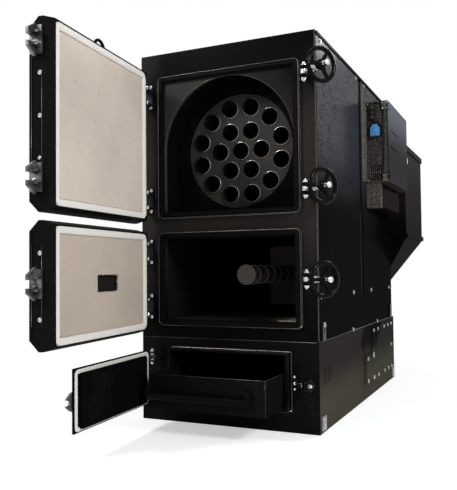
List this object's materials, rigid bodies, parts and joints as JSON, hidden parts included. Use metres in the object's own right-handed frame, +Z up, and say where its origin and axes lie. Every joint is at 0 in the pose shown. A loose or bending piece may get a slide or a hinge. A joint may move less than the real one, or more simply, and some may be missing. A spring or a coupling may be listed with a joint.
{
  "type": "coal boiler",
  "caption": "Floor-standing fire-tube coal boiler: lined upper and furnace doors, ash door with pan, hand-wheel clamps, control cabinet and rear fuel bin.",
  "frame": {"origin": "centre of the base footprint, on the floor", "axes": "+Z up, -Y the door side, +X the side with the control cabinet"},
  "size_m": [1.126, 3.3793, 1.87],
  "materials": {
    "black_paint": "gloss",
    "side_paint": "gloss",
    "soot_black": "matte",
    "tube_steel": "satin",
    "cast_grate": "rough",
    "bright_steel": "bright",
    "black_plastic": "gloss",
    "motor_grey": "satin",
    "lining": "matte",
    "rope": "braided"
  },
  "bodies": {
    "boiler": {"front_plate": "black_paint", "upper_frame": "black_paint", "furnace_frame": "black_paint", "smoke_box": "soot_black", "tube_sheets": "soot_black", "fire_tubes": "tube_steel", "firebox": "soot_black", "grate": "cast_grate", "feed_pipe": "soot_black", "casing": "black_paint", "side_panels": "side_paint", "base_front": "black_paint", "base_box": "side_paint", "ash_collar": "black_paint", "ash_bay": "soot_black", "hinge_lugs": "bright_steel", "clamp_lugs": "black_paint", "body_brackets": "black_paint", "base_covers": "side_paint", "cabinet_box": "black_paint", "cabinet_fittings": "black_plastic", "bin_walls": "side_paint", "bin_foot": "side_paint", "bin_lid": "side_paint", "bin_stand": "black_paint", "gear_motor": "motor_grey", "flue_spigot": "black_paint", "flow_flange": "black_paint", "return_flange": "black_paint"},
    "upper_door": {"upper_door_shell": "black_paint", "upper_door_lining": "lining", "upper_door_rope": "rope", "upper_door_irons": "black_paint"},
    "furnace_door": {"furnace_door_shell": "black_paint", "furnace_door_lining": "lining", "furnace_door_rope": "rope", "furnace_door_irons": "black_paint"},
    "ash_door": {"ash_door_plate": "black_paint", "ash_door_box": "black_paint", "ash_door_rope": "rope", "ash_door_irons": "black_paint"},
    "ash_pan": {"ash_pan": "black_paint"},
    "top_clamp": {"top_clamp_rod": "bright_steel"},
    "middle_clamp": {"middle_clamp_rod": "bright_steel"},
    "furnace_clamp": {"furnace_clamp_rod": "bright_steel"},
    "ash_clamp": {"ash_clamp_rod": "bright_steel"},
    "top_wheel": {"top_handwheel": "black_plastic"},
    "middle_wheel": {"middle_handwheel": "black_plastic"},
    "furnace_wheel": {"furnace_handwheel": "black_plastic"},
    "ash_wheel": {"ash_knob": "black_plastic"},
    "cabinet_door": {"cabinet_door": "black_paint"}
  },
  "joints": [
    {"name": "upper_door_hinge", "type": "hinge", "parent": "boiler", "child": "upper_door", "pos_m": [-0.399, -0.907, 1.293], "axis": [0, 0, 1], "range_deg": [-30, 85]},
    {"name": "furnace_door_hinge", "type": "hinge", "parent": "boiler", "child": "furnace_door", "pos_m": [-0.399, -0.907, 0.667], "axis": [0, 0, 1], "range_deg": [-30, 85]},
    {"name": "ash_door_hinge", "type": "hinge", "parent": "boiler", "child": "ash_door", "pos_m": [-0.35, -0.885, 0.22], "axis": [0, 0, 1], "range_deg": [-25, 86]},
    {"name": "ash_pan_slide", "type": "slide", "parent": "boiler", "child": "ash_pan", "axis": [0, 1, 0], "range_m": [-0.1314, 0.447]},
    {"name": "top_clamp_swing", "type": "hinge", "parent": "boiler", "child": "top_clamp", "pos_m": [0.403, -0.87, 1.555], "axis": [0, 0, -1], "range_deg": [-35, 56]},
    {"name": "top_wheel_spin", "type": "hinge", "parent": "top_clamp", "child": "top_wheel", "pos_m": [0.403, -0.87, 1.555], "axis": [0.829, -0.5592, 0], "continuous": true},
    {"name": "middle_clamp_swing", "type": "hinge", "parent": "boiler", "child": "middle_clamp", "pos_m": [0.403, -0.87, 1.051], "axis": [0, 0, -1], "range_deg": [-35, 56]},
    {"name": "middle_wheel_spin", "type": "hinge", "parent": "middle_clamp", "child": "middle_wheel", "pos_m": [0.403, -0.87, 1.051], "axis": [0.829, -0.5592, 0], "continuous": true},
    {"name": "furnace_clamp_swing", "type": "hinge", "parent": "boiler", "child": "furnace_clamp", "pos_m": [0.403, -0.87, 0.665], "axis": [0, 0, -1], "range_deg": [-35, 56]},
    {"name": "furnace_wheel_spin", "type": "hinge", "parent": "furnace_clamp", "child": "furnace_wheel", "pos_m": [0.403, -0.87, 0.665], "axis": [0.829, -0.5592, 0], "continuous": true},
    {"name": "ash_clamp_swing", "type": "hinge", "parent": "boiler", "child": "ash_clamp", "pos_m": [0.336, -0.85, 0.22], "axis": [0, 0, -1], "range_deg": [-22, 56]},
    {"name": "ash_knob_spin", "type": "hinge", "parent": "ash_clamp", "child": "ash_wheel", "pos_m": [0.336, -0.85, 0.22], "axis": [0.829, -0.5592, 0], "continuous": true},
    {"name": "cabinet_door_hinge", "type": "hinge", "parent": "boiler", "child": "cabinet_door", "pos_m": [0.569, 0.118, 1.4125], "axis": [0, 0, 1], "range_deg": [-110, 0]}
  ],
  "couplings": [
    {"joint": "ash_pan_slide", "follows": "ash_door_hinge", "m_per_rad": 0.29647}
  ]
}
